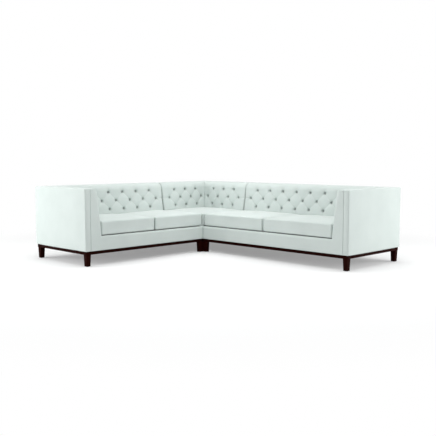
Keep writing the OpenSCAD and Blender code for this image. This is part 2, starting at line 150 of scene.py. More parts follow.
def white_floor(reach, glow, near, far):
    """A floor that takes the sofa's shadow, and turns into plain white away from it."""
    finish = bpy.data.materials.new("white floor")
    tree = empty_tree(finish)
    seen = seen_directly(tree)
    place = add(tree, "ShaderNodeTexCoord").outputs["Object"]
    away = add(tree, "ShaderNodeVectorMath", {0: place}, operation="LENGTH").outputs["Value"]
    beyond = add(tree, "ShaderNodeMapRange", {0: away, 1: near, 2: far},
                 interpolation_type="SMOOTHSTEP").outputs[0]
    white_out = calculate(tree, "MULTIPLY", beyond, seen)
    level = calculate(tree, "MULTIPLY", seen, glow)
    paint = add(tree, "ShaderNodeBsdfDiffuse", {"Color": floor_colour}).outputs[0]
    lift = add(tree, "ShaderNodeEmission", {"Color": (1, 1, 1, 1), "Strength": level}).outputs[0]
    lit = add(tree, "ShaderNodeAddShader", {0: paint, 1: lift}).outputs[0]
    white = add(tree, "ShaderNodeEmission", {"Color": (1, 1, 1, 1), "Strength": 1.0}).outputs[0]
    blend = add(tree, "ShaderNodeMixShader", {0: white_out, 1: lit, 2: white}).outputs[0]
    add(tree, "ShaderNodeOutputMaterial", {"Surface": blend})
    mesh = bpy.data.meshes.new("floor")
    mesh.from_pydata([(x * reach, y * reach, 0) for x, y in ((-1, -1), (1, -1), (1, 1), (-1, 1))],
                     [], [(0, 1, 2, 3)])
    mesh.materials.append(finish)
    new_object("floor", mesh)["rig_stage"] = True


def soft_light(name, place, aim, size, watts, spread=180):
    data = bpy.data.lights.new(name, "AREA")
    data.shape = "RECTANGLE"
    data.size, data.size_y = size
    data.energy = watts
    data.spread = math.radians(spread)
    light = new_object(name, data)
    light.location = place
    way = [a - p for a, p in zip(aim, place)]
    flat = math.hypot(way[0], way[1])
    light.rotation_euler = (math.atan2(flat, -way[2]), 0, math.atan2(way[1], way[0]) - math.pi / 2)


floor_colour = (0.62, 0.625, 0.625, 1)
white_world(ambient=0.453)
white_floor(reach=60, glow=0.295, near=2.2, far=4.0)
soft_light("overhead light", (0.2, -0.2, 4.2), (0.2, -0.2, 0), (5.5, 5.5), 163)
soft_light("front light", (3.6, -3.6, 2.6), (0, 0, 0.4), (3.0, 2.0), 16)
soft_light("corner light", (2.2, -2.2, 2.6), (-0.45, 0.35, 0.45), (0.9, 0.9), 2.1, spread=35)
soft_light("left light", (-3.2, -4.6, 1.3), (-0.6, -0.6, 0.4), (3.0, 2.2), 172)
soft_light("right light", (4.6, 3.2, 1.3), (0.6, 0.6, 0.4), (3.0, 2.2), 149)


# The legs: ten short posts of dark stained hardwood, tapered on all four sides, each drilled from
# above for the bolt that holds it to the base. Their edges are eased before staining.
def finish_of(name, roughness, sheen=0.0, sheen_roughness=0.5):
    """A new material and its tree, Principled shader and object coordinates."""
    finish = bpy.data.materials.new(name)
    finish.use_nodes = True
    tree = finish.node_tree
    shader = tree.nodes["Principled BSDF"]
    shader.inputs["Roughness"].default_value = roughness
    shader.inputs["Sheen Weight"].default_value = sheen
    shader.inputs["Sheen Roughness"].default_value = sheen_roughness
    place = add(tree, "ShaderNodeTexCoord").outputs["Object"]
    return finish, tree, shader, place


def two_tones(tree, factor, dark, light):
    """A colour between two, by a factor. Numbers 6 and 7 are the node's colour inputs."""
    return add(tree, "ShaderNodeMix", {0: factor, 6: (*dark, 1), 7: (*light, 1)},
               data_type="RGBA").outputs[2]


def raised(tree, height, depth, under=None):
    """A bump of that depth in metres, over another bump if one is given."""
    inputs = {"Height": height, "Distance": depth}
    if under is not None:
        inputs["Normal"] = under
    return add(tree, "ShaderNodeBump", inputs).outputs["Normal"]


def coat(tree, shader, colour, relief):
    tree.links.new(colour, shader.inputs["Base Color"])
    tree.links.new(relief, shader.inputs["Normal"])


grain_stretch = 0.08
streak_scale, pore_scale = 45, 420
pore_depth = 0.0002
pore_smoother, pore_duller = 0.06, 0.1


def noise(tree, place, scale, detail):
    return add(tree, "ShaderNodeTexNoise", {"Vector": place, "Scale": scale, "Detail": detail}).outputs[0]


def wood(name, dark, light, grain_way, roughness):
    """Wood with its grain along one axis: fine pores over broad streaks."""
    finish, tree, shader, place = finish_of(name, roughness)
    stretch = [grain_stretch if axis == grain_way else 1.0 for axis in "xyz"]
    along = add(tree, "ShaderNodeMapping", {"Vector": place, "Scale": stretch}).outputs[0]
    pores = noise(tree, along, pore_scale, 2)
    coat(tree, shader, two_tones(tree, noise(tree, along, streak_scale, 5), dark, light),
         raised(tree, pores, pore_depth))
    gloss = add(tree, "ShaderNodeMapRange", {0: pores, 3: roughness - pore_smoother,
                                             4: roughness + pore_duller})
    tree.links.new(gloss.outputs[0], shader.inputs["Roughness"])
    return finish


stain_dark, stain_light = (0.010, 0.0014, 0.0008), (0.018, 0.0030, 0.0018)
stain_shine = 0.015
stained_wood = {way: wood(f"stained wood, grain {way}", stain_dark, stain_light, way, 0.55) for way in "xyz"}
for finish in stained_wood.values():
    shader = finish.node_tree.nodes["Principled BSDF"]
    shader.inputs["Specular IOR Level"].default_value = stain_shine


def settle(piece, finish, slot, body, *nodes):
    """Gives a finished piece its material, and says where it belongs."""
    piece.data.materials.clear()
    piece.data.materials.append(finish)
    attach(piece, body)
    if nodes:
        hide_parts(*nodes)
    return piece


def baked(piece):
    """Turns a piece and its modifiers into one plain mesh."""
    view = bpy.context.view_layer
    view.update()
    mesh = bpy.data.meshes.new_from_object(piece.evaluated_get(bpy.context.evaluated_depsgraph_get()))
    piece.modifiers.clear()
    old = piece.data
    piece.data = mesh
    bpy.data.meshes.remove(old)
    return piece


merge_reach = 1e-5
flat_angle, corner_angle, sharp_angle = 0.01, 0.7, 0.6


def eased(node, width, steps=2):
    """A copy of a node's solid with its corners eased, and its bores kept."""
    piece = new_object(node + "_eased", frame["nodes"][node].data.copy())
    solid = bmesh.new()
    solid.from_mesh(piece.data)
    bmesh.ops.remove_doubles(solid, verts=solid.verts, dist=merge_reach)
    bmesh.ops.dissolve_limit(solid, angle_limit=flat_angle, verts=solid.verts, edges=solid.edges)
    corners = [e for e in solid.edges if len(e.link_faces) == 2 and e.calc_face_angle() > corner_angle]
    bmesh.ops.bevel(solid, geom=corners, offset=width, segments=steps, profile=0.5,
                    affect="EDGES", clamp_overlap=True)
    solid.to_mesh(piece.data)
    solid.free()
    piece.data.shade_smooth()
    piece.data.set_sharp_from_angle(angle=sharp_angle)
    return piece


leg_ease = 0.002
for node, part in frame["nodes"].items():
    if node.startswith("leg_"):
        settle(eased(node, leg_ease), stained_wood["z"], "stained_wood", part["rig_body"], node)


# The plinth: straight lengths of the same stained hardwood, laid flat between the legs and the
# upholstery, set back a little all round, with eased edges.
plinth_ease = 0.0025
for node, part in frame["nodes"].items():
    if "_plinth_" in node:
        low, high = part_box(node)
        way = "x" if high.x - low.x > high.y - low.y else "y"
        settle(eased(node, plinth_ease), stained_wood[way], "stained_wood", part["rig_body"], node)


# The hidden frames of the base, backs and arms: rails and posts of sawn hardwood, glued and
# screwed together, and left rough because the upholstery covers them.
def refinish(finish, *nodes):
    for node in nodes:
        for place in frame["nodes"][node].material_slots:
            place.material = finish


sawn_hardwood = wood("sawn hardwood", (0.40, 0.25, 0.13), (0.58, 0.41, 0.24), "z", 0.72)
refinish(sawn_hardwood, "corner_base_frame", "left_base_frame", "corner_back_frame", "left_back_frame",
         "right_arm_frame", "left_arm_frame")


# The fixings: zinc-plated leg bolts, and the steel pins and sockets that join the two modules.
# The legs stand on felt glides.
def flecked(name, dark, light, roughness, scale, detail, relief, sheen=0.0, metallic=0.0):
    """A finish of fine flecks in two tones, such as felt fibres or brush marks."""
    finish, tree, shader, place = finish_of(name, roughness, sheen)
    shader.inputs["Metallic"].default_value = metallic
    flecks = noise(tree, place, scale, detail)
    coat(tree, shader, two_tones(tree, flecks, dark, light), raised(tree, flecks, relief))
    return finish


steel = flecked("zinc-plated steel", (0.50, 0.51, 0.53), (0.66, 0.67, 0.69), 0.35, 260, 4, 0.0001,
                metallic=1.0)
refinish(steel, "corner_leg_bolts", "left_leg_bolts", "joining_pins", "pin_sockets")
felt = flecked("pressed felt", (0.12, 0.11, 0.10), (0.22, 0.20, 0.18), 0.95, 900, 6, 0.0006, sheen=0.3)
refinish(felt, "corner_glides", "left_glides")


# The webbing: woven elastic straps under the seats, with fine ribs in their weave, stretched both
# ways over the base rails.
def woven_elastic():
    finish, tree, shader, place = finish_of("woven elastic", 0.85)
    ribs = add(tree, "ShaderNodeTexWave", {"Vector": place, "Scale": 260, "Distortion": 0.6,
                                           "Detail": 1}, bands_direction="DIAGONAL").outputs[1]
    coat(tree, shader, two_tones(tree, ribs, (0.03, 0.03, 0.035), (0.09, 0.09, 0.10)),
         raised(tree, ribs, 0.0005))
    return finish


refinish(woven_elastic(), "corner_webbing", "left_webbing")


# The dust covers: thin black cloth stretched under each module and stapled to its base rails, so
# that it hangs a few millimetres in the middle.
corner_x, corner_y = cad_low.x, cad_high.y


def listed(*columns):
    """Rows of values, one for each place in a grid."""
    return np.stack(np.broadcast_arrays(*columns), -1).reshape(-1, len(columns))


def in_row(points, wing):
    """Points of a wing, in the frame that all pieces share. The two wings share the sofa's outer
    corner. Along a wing, u runs from that corner, v from the outer back to the front, and z up."""
    u, v, z = np.asarray(points, float).T
    if wing == "right":
        return listed(corner_x + u, corner_y - v, z)
    return listed(corner_x + v, corner_y - u, z)


def in_wing(node, wing):
    """The lowest and highest corners of a node's box, as (u, v, z)."""
    low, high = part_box(node)
    x = (low.x - corner_x, high.x - corner_x)
    y = (corner_y - high.y, corner_y - low.y)
    along, across = (x, y) if wing == "right" else (y, x)
    return np.array([along[0], across[0], low.z]), np.array([along[1], across[1], high.z])


def turn_outwards(piece):
    """Turns the faces of a closed mesh outwards, and shades it smooth."""
    solid = bmesh.new()
    solid.from_mesh(piece.data)
    bmesh.ops.recalc_face_normals(solid, faces=solid.faces)
    solid.to_mesh(piece.data)
    solid.free()
    piece.data.shade_smooth()


def object_of(name, points, edges=(), faces=()):
    mesh = bpy.data.meshes.new(name)
    mesh.from_pydata(np.asarray(points).tolist(), edges, [list(map(int, f)) for f in faces])
    return new_object(name, mesh)


def new_piece(name, points, faces):
    """A closed, smooth piece with these points and faces."""
    piece = object_of(name, points, faces=faces)
    turn_outwards(piece)
    return piece


def squares_of(number):
    """The squares between points numbered in rows and columns."""
    return np.stack([number[:-1, :-1], number[1:, :-1], number[1:, 1:], number[:-1, 1:]], -1).reshape(-1, 4)


def recipe(name, sizes):
    """A Geometry Nodes tree with a geometry input and output and a named input for each size."""
    tree = bpy.data.node_groups.new(name, "GeometryNodeTree")
    for way in ("INPUT", "OUTPUT"):
        tree.interface.new_socket("Geometry", in_out=way, socket_type="NodeSocketGeometry")
    for size, kind in sizes.items():
        tree.interface.new_socket(size, in_out="INPUT", socket_type="NodeSocket" + kind)
    return tree, add(tree, "NodeGroupInput").outputs, add(tree, "NodeGroupOutput").inputs


def follow(piece, tree, sizes):
    """Shapes a piece by a recipe with these sizes, and leaves a plain mesh."""
    step = piece.modifiers.new("recipe", "NODES")
    step.node_group = tree
    for socket in tree.interface.items_tree:
        if socket.in_out == "INPUT" and socket.name in sizes:
            step[socket.identifier] = sizes[socket.name]
    return baked(piece)


def place_copies(tree, given, result, points, model, rotation):
    """Ends a recipe with a copy of a model at each point, all in one material."""
    laid = add(tree, "GeometryNodeInstanceOnPoints", {
        "Points": points, "Instance": model, "Rotation": rotation}).outputs[0]
    real = add(tree, "GeometryNodeRealizeInstances", {0: laid}).outputs[0]
    finished = add(tree, "GeometryNodeSetMaterial", {"Geometry": real, "Material": given["Material"]})
    tree.links.new(finished.outputs[0], result["Geometry"])
    return tree


def stapling():
    """Wire staples laid along a border, every so far, flat against the cloth."""
    tree, given, result = recipe("staples along a border", {
        "Spacing": "Float", "Crown": "Float", "Wire": "Float", "Material": "Material"})
    border = add(tree, "GeometryNodeMeshToCurve", {"Mesh": given["Geometry"]}).outputs[0]
    stops = add(tree, "GeometryNodeCurveToPoints", {"Curve": border, "Length": given["Spacing"]},
                mode="LENGTH")
    half = calculate(tree, "MULTIPLY", given["Crown"], 0.5)
    back = calculate(tree, "MULTIPLY", half, -1.0)
    tips = [add(tree, "ShaderNodeCombineXYZ", {"Z": end}).outputs[0] for end in (back, half)]
    line = add(tree, "GeometryNodeCurvePrimitiveLine", {"Start": tips[0], "End": tips[1]}).outputs[0]
    ring = add(tree, "GeometryNodeCurvePrimitiveCircle", {"Resolution": 6, "Radius": given["Wire"]})
    wire = add(tree, "GeometryNodeCurveToMesh", {"Curve": line, "Profile Curve": ring.outputs[0],
                                                 "Fill Caps": True}).outputs[0]
    return place_copies(tree, given, result, stops.outputs["Points"], wire, stops.outputs["Rotation"])


cambric = flecked("black cambric", (0.008, 0.008, 0.009), (0.022, 0.022, 0.024), 0.9, 700, 4, 0.0003)
staples = stapling()
cover_sag = 0.006
cover_thickness = 0.0008
cover_points = (80, 28)
staple_inset, staple_spacing = 0.008, 0.055
staple_crown, staple_wire = 0.011, 0.0006
modules = (("corner", "right"), ("left", "left"))
for module, wing in modules:
    node = module + "_dust_cover"
    low, high = in_wing(node, wing)
    u, v = np.meshgrid(*(np.linspace(low[k], high[k], cover_points[k]) for k in (0, 1)), indexing="ij")
    slack = (np.sin(np.pi * (u - low[0]) / (high[0] - low[0]))
             * np.sin(np.pi * (v - low[1]) / (high[1] - low[1])))
    points = listed(u, v, high[2] - cover_thickness - cover_sag * np.sqrt(slack.clip(0)))
    number = np.arange(u.size).reshape(u.shape)
    cover = new_piece(node + "_cloth", in_row(points, wing), squares_of(number))
    wall = cover.modifiers.new("wall", "SOLIDIFY")
    wall.thickness = cover_thickness
    wall.offset = 0
    settle(baked(cover), cambric, "dust_cloth", module + "_module", node)
    (u0, v0), (u1, v1), z = low[:2] + staple_inset, high[:2] - staple_inset, low[2]
    border = in_row([(u0, v0, z), (u1, v0, z), (u1, v1, z), (u0, v1, z)], wing)
    row = object_of(node + "_staples", border, edges=[(0, 1), (1, 2), (2, 3), (3, 0)])
    follow(row, staples, {"Spacing": staple_spacing, "Crown": staple_crown, "Wire": staple_wire,
                          "Material": steel})
    settle(row, steel, "steel", module + "_module")


# The outer backs and the ends where the modules meet: the pale cover drawn over thin boards, with
# soft edges and a slight fullness, each sewn or tacked edge to edge with its neighbours.
slub_scales = ((900, 26, 1), (26, 900, 1))
slub_relief, thread_relief = 0.0005, 0.00012
slub_weight, mottle_scale, mottle_range = 0.5, 5, (0.6, 1.4)
cover_roughness, nap_roughness = 0.88, 0.45
# Painted shade: the dark colour the cloth is drawn towards in button wells and seams, and how far.
painted_shade_colour, painted_shade_share = (0.075, 0.085, 0.081, 1), 0.8


def woven_cover(name, dark, light, thread, sheen):
    """Plain-woven upholstery cloth: threads both ways, slubs along them and a faint mottle, with painted
    shade mixed in where a piece's points ask for it.
    """
    finish, tree, shader, place = finish_of(name, cover_roughness, sheen, nap_roughness)
    cloth = add(tree, "ShaderNodeUVMap", uv_map="cloth").outputs[0]
    turns = add(tree, "ShaderNodeVectorMath", {0: cloth, "Scale": 2 * math.pi / thread},
                operation="SCALE").outputs[0]
    across = add(tree, "ShaderNodeVectorMath", {0: turns}, operation="SINE").outputs[0]
    split = add(tree, "ShaderNodeSeparateXYZ", {0: across})
    weave = calculate(tree, "MULTIPLY", split.outputs[0], split.outputs[1])
    slubs = [noise(tree, add(tree, "ShaderNodeMapping", {"Vector": cloth, "Scale": scale}).outputs[0], 1, 2)
             for scale in slub_scales]
    slub = calculate(tree, "ADD", *slubs)
    mixed = calculate(tree, "MULTIPLY_ADD", slub, slub_weight, noise(tree, place, mottle_scale, 3))
    tone = add(tree, "ShaderNodeMapRange", {0: mixed, 1: mottle_range[0], 2: mottle_range[1]}).outputs[0]
    # Painted shade: each point's share of darkening, kept by the tufting recipe and by the buttons.
    hollow = add(tree, "ShaderNodeAttribute", attribute_name="hollow").outputs["Fac"]
    shade = calculate(tree, "MULTIPLY", hollow, painted_shade_share)
    colour = add(tree, "ShaderNodeMix", {0: shade, 6: two_tones(tree, tone, dark, light),
                                         7: painted_shade_colour}, data_type="RGBA").outputs[2]
    coat(tree, shader, colour, raised(tree, slub, slub_relief, raised(tree, weave, thread_relief)))
    return finish


def vertices_of(piece):
    points = np.empty(len(piece.data.vertices) * 3)
    piece.data.vertices.foreach_get("co", points)
    return points.reshape(-1, 3)


def lay_cloth(piece):
    """Gives a piece a map in metres, with the cloth laid flat on whichever side each face looks."""
    mesh = piece.data
    corners = np.empty(len(mesh.loops), int)
    mesh.loops.foreach_get("vertex_index", corners)
    points = vertices_of(piece)[corners]
    normals = np.empty(len(mesh.polygons) * 3)
    mesh.polygons.foreach_get("normal", normals)
    counts = np.empty(len(mesh.polygons), int)
    mesh.polygons.foreach_get("loop_total", counts)
    side = np.repeat(np.abs(normals.reshape(-1, 3)).argmax(1), counts)
    flat = np.where((side == 0)[:, None], points[:, [1, 2]],
                    np.where((side == 1)[:, None], points[:, [0, 2]], points[:, [0, 1]]))
    mesh.uv_layers.new(name="cloth").data.foreach_set("uv", flat.ravel())


def dress(piece, finish, slot, body, *nodes, fill=None):
    lay_cloth(piece)
    settle(piece, finish, slot, body, *nodes)
    return piece


edge_steps = 3
unevenness, ripple_size = 0.0008, 0.35
ripple_waves, ripple_gain = 6, 1.6
side_squareness, side_sharpness = 4, 6


def stations(low, high, first, last, step):
    """Places along a side of a box: close together on its two round edges, even between them."""
    turn = np.array([1 - math.tan(math.pi / 4 * k / edge_steps) for k in range(edge_steps, 0, -1)])
    count = max(2, math.ceil((high - low - first - last) / step) + 1)
    flat = np.linspace(low + first, high - last, count)
    return np.concatenate([low + first * turn, flat, high - last * turn[::-1]])


def box_skin(sides):
    """The points and squares of a closed box, over its stations in three directions."""
    points, squares, count = [], [], 0
    for axis in range(3):
        first, second = [k for k in range(3) if k != axis]
        p, q = np.meshgrid(sides[first], sides[second], indexing="ij")
        number = np.arange(p.size).reshape(p.shape)
        for end in (0, -1):
            face = np.empty(p.shape + (3,))
            face[..., first], face[..., second], face[..., axis] = p, q, sides[axis][end]
            points.append(face.reshape(-1, 3))
            squares.append(squares_of(number) + count)
            count += p.size
    joined, where = np.unique(np.round(np.concatenate(points), 6), axis=0, return_inverse=True)
    return joined, where.ravel()[np.concatenate(squares)]


def ripples(points, size, seed):
    """A smooth unevenness from -1 to 1, the same on each run."""
    random = np.random.RandomState(seed)
    waves = random.normal(size=(ripple_waves, 3)) * 2 * math.pi / size
    phases = random.uniform(0, 2 * math.pi, ripple_waves)
    return np.sin(points @ waves.T + phases).mean(1) * ripple_gain


def rounded(points, low, high, first, last):
    """Points of a box skin moved onto a box with round edges, and the way each one faces. The
    radius may differ along each axis, and at its two ends."""
    core = np.clip(points, low + first, high - last)
    radius = np.where(points < core, first, last)
    out = (points - core) / radius
    out /= np.linalg.norm(out, axis=1, keepdims=True)
    return core + out * radius, out


def stuffed(points, out, low, high, fullness, seed):
    """Points pushed outwards by the padding: most in the middle of a side, none at its edges."""
    share = 1 - np.abs(2 * (points - low) / (high - low) - 1).clip(0, 1) ** side_squareness
    facing = np.abs(out) ** side_sharpness
    swell = sum(facing[:, k] * share[:, (k + 1) % 3] * share[:, (k + 2) % 3] for k in range(3))
    push = swell * (fullness + unevenness * ripples(points, ripple_size, seed))
    return points + out * push[:, None]


def upholstered_board(name, low, high, wing, radius, fullness, seed, step=0.02):
    points, squares = box_skin([stations(a, b, radius, radius, step) for a, b in zip(low, high)])
    points, out = rounded(points, low, high, radius, radius)
    points = stuffed(points, out, low, high, fullness, seed)
    return new_piece(name, in_row(points, wing), squares)


pale_dark, pale_light = (0.530, 0.592, 0.570), (0.585, 0.645, 0.623)
pale_thread, pale_sheen = 0.0016, 0.12
cover_cloth = woven_cover("pale woven cover", pale_dark, pale_light, pale_thread, pale_sheen)
lap = 0.014
board_edge = 0.005
board_fullness = 0.0015
for seed, (node, wing, body) in enumerate((("long_back_panel", "right", "corner_module"),
                                           ("return_back_panel", "left", "corner_module"),
                                           ("left_back_panel", "left", "left_module"))):
    low, high = in_wing(node, wing)
    high[2] -= lap
    board = upholstered_board(node + "_cover", low, high, wing, board_edge, board_fullness, seed)
    dress(board, cover_cloth, "cover_fabric", body, node)
for node, body in (("corner_end_panel", "corner_module"), ("left_end_panel", "left_module")):
    dress(eased(node, board_edge, edge_steps), cover_cloth, "cover_fabric", body, node)


# The arm slabs: the crisp outer half of each arm, a boxed cover drawn tight over the arm frame from
# the front round the outside to the back, and sewn to the softer inner pad along the front and top.
slab_edge = 0.007
slab_fullness = 0.003
for seed, (module, side) in enumerate(modules):
    low, high = in_wing(side + "_arm_slab", side)
    slab = upholstered_board(side + "_arm_slab_cover", low, high, side, slab_edge, slab_fullness, 20 + seed)
    dress(slab, cover_cloth, "cover_fabric", module + "_module", side + "_arm_slab")


# The arm pads and seat rails: on each module one cover runs from the rounded inner half of the arm,
# down its front, and on along the seat rail without a seam. It is drawn as a distance to the
# padding's surface, and a mesh is pulled onto it.
def round_corner(a, b, radius):
    """Distance to the solid behind two square faces whose shared edge is rounded."""
    p, q = a + radius, b + radius
    return np.hypot(p.clip(0), q.clip(0)) + np.minimum(np.maximum(p, q), 0) - radius


def soft_join(a, b, blend):
    """The lesser of two distances, blended where they are alike."""
    near = np.maximum(blend - np.abs(a - b), 0) / blend
    return np.minimum(a, b) - near ** 2 * blend / 4


top_round = 0.065
top_drop = 0.085
foot_round = 0.006
head_round = 0.080
head_bend = 1.5
front_top_round = 0.009
back_top_round = 0.008
roll_blend = 0.012
arm_lean = 0.045
inner_gap = 0.003
rail_drop = 0.008
rail_round = 0.018
seam_round = 0.004
joint_round = 0.012
inside_blend = 0.006
back_lean = math.radians(8.5)
lean_start = 0.455


def leaning(height):
    """How far the inside backs have leaned back at a height above the floor."""
    return math.tan(back_lean) * max(0.0, min(height, cad_high.z - top_drop) - lean_start)


def arm_and_rail_distance(points, sizes):
    """Distance from points of a wing to its arm pad and seat rail, less than 0 inside them."""
    u, v, z = points.T
    inner, seam, front, seat_top, top, bottom, rail_back, rail_start, back_front = sizes
    rise = (z - seat_top).clip(0)
    side = inner + arm_lean * rise - u
    turn = foot_round + (head_round - foot_round) * (rise / (top - seat_top)) ** head_bend
    pad = np.maximum(round_corner(side, z - top, top_round), round_corner(side, v - front, turn))
    pad = np.maximum(pad, round_corner(z - top, v - front, front_top_round))
    steep = top_round / top_drop
    roll = np.maximum(np.maximum(inner + inner_gap - u, v - back_front),
                      round_corner((z - top) * steep, v - back_front, top_round))
    pad = soft_join(pad, roll, roll_blend)
    pad = np.maximum(pad, np.minimum(seat_top - z, rail_back - v))
    rail = np.maximum(round_corner(z - seat_top + rail_drop, v - front, rail_round), rail_back - v)
    rail = np.maximum(rail, round_corner(rail_start - u, v - front, joint_round))
    body = np.maximum(soft_join(pad, rail, inside_blend), v - front)
    body = -soft_join(-body, seam - u, seam_round)
    for a, b in ((u - seam, v - front), (u - seam, z - top), (bottom - z, v - front)):
        body = np.maximum(body, round_corner(a, b, seam_round))
    return np.maximum(body, round_corner(-v, z - top, back_top_round))


def pulled_onto(points, distance, rounds=9, reach=1e-4, stride=0.006):
    """Points moved along the slope of a distance until they lie on its surface."""
    steps = np.eye(3) * reach
    for _ in range(rounds):
        slope = np.stack([distance(points + s) - distance(points - s) for s in steps], 1) / (2 * reach)
        slope /= np.linalg.norm(slope, axis=1, keepdims=True).clip(1e-6)
        points = points - slope * distance(points)[:, None].clip(-stride, stride)
    return points


def joined_boxes(name, boxes, cell):
    """Boxes fused into one even skin."""
    solid = bmesh.new()
    for low, high in boxes:
        made = bmesh.ops.create_cube(solid, size=1.0)["verts"]
        for corner in made:
            corner.co = [a + (c + 0.5) * (b - a) for c, a, b in zip(corner.co, low, high)]
    mesh = bpy.data.meshes.new(name)
    solid.to_mesh(mesh)
    solid.free()
    piece = new_object(name, mesh)
    skin = piece.modifiers.new("skin", "REMESH")
    skin.mode = "VOXEL"
    skin.voxel_size = cell
    return baked(piece)


def move_to(piece, points):
    piece.data.vertices.foreach_set("co", np.asarray(points, np.float32).ravel())
    piece.data.update()


skin_cell = 0.006
toe_overlap = 0.02
for module, side in modules:
    pad_low, pad_high = in_wing(side + "_arm_pad", side)
    rail_low, rail_high = in_wing(side + "_seat_rail", side)
    back_high = in_wing(side + "_wing_back_pad", side)[1]
    pad_box = (pad_low - (0, pad_low[1], 0), pad_high)
    toe_box = ((pad_low[0], rail_low[1], rail_low[2]), (pad_high[0], rail_high[1], pad_low[2] + toe_overlap))
    sizes = (pad_low[0], pad_high[0], rail_high[1], rail_high[2], pad_high[2], rail_low[2],
             rail_low[1], rail_low[0], back_high[1] - leaning(pad_high[2]))
    arm = joined_boxes(side + "_arm_pad_and_seat_rail", [pad_box, toe_box, (rail_low, rail_high)], skin_cell)
    points = pulled_onto(vertices_of(arm), lambda p: arm_and_rail_distance(p, sizes))
    move_to(arm, in_row(points, side))
    turn_outwards(arm)
    dress(arm, cover_cloth, "cover_fabric", module + "_module", side + "_arm_pad", side + "_seat_rail",
          fill=0.9)


# The inside backs: thick pads whose cover is drawn in by three staggered rows of buttons. Between
# the buttons it folds into diagonal pleats, each pillow hanging a little over the pleat below it.
row_drop = 0.088
row_step = 0.097
button_radius = 0.011
button_thickness = 0.007
tuft_depth = 0.038
pleat_depth = 0.010
back_edge = 0.008
frame_drop, frame_front, panel_front = 0.048, 0.065, 0.020
fold_step, top_step = 0.0035, 0.008
end_steps = (0, 0.0006, 0.0018, 0.0036, 0.006, 0.009, 0.0125)
end_reach = 0.0165
end_closing = 0.012
end_fade = 0.3
level_narrowness, level_fade, level_share = 90.0, 0.03, 0.7
dimple_bend = 0.8
gather_count, gather_narrowness = 9.0, 45.0
seam_fade, seam_share_on_top = 0.17, 0.35
# Painted shade: how far from a button's seat and from an end seam the cloth is darkened, and how deep a seam
# must be to get all of it.
well_shade_width, seam_shade_width, seam_depth_of_full_shade = 0.005, 0.006, 0.03


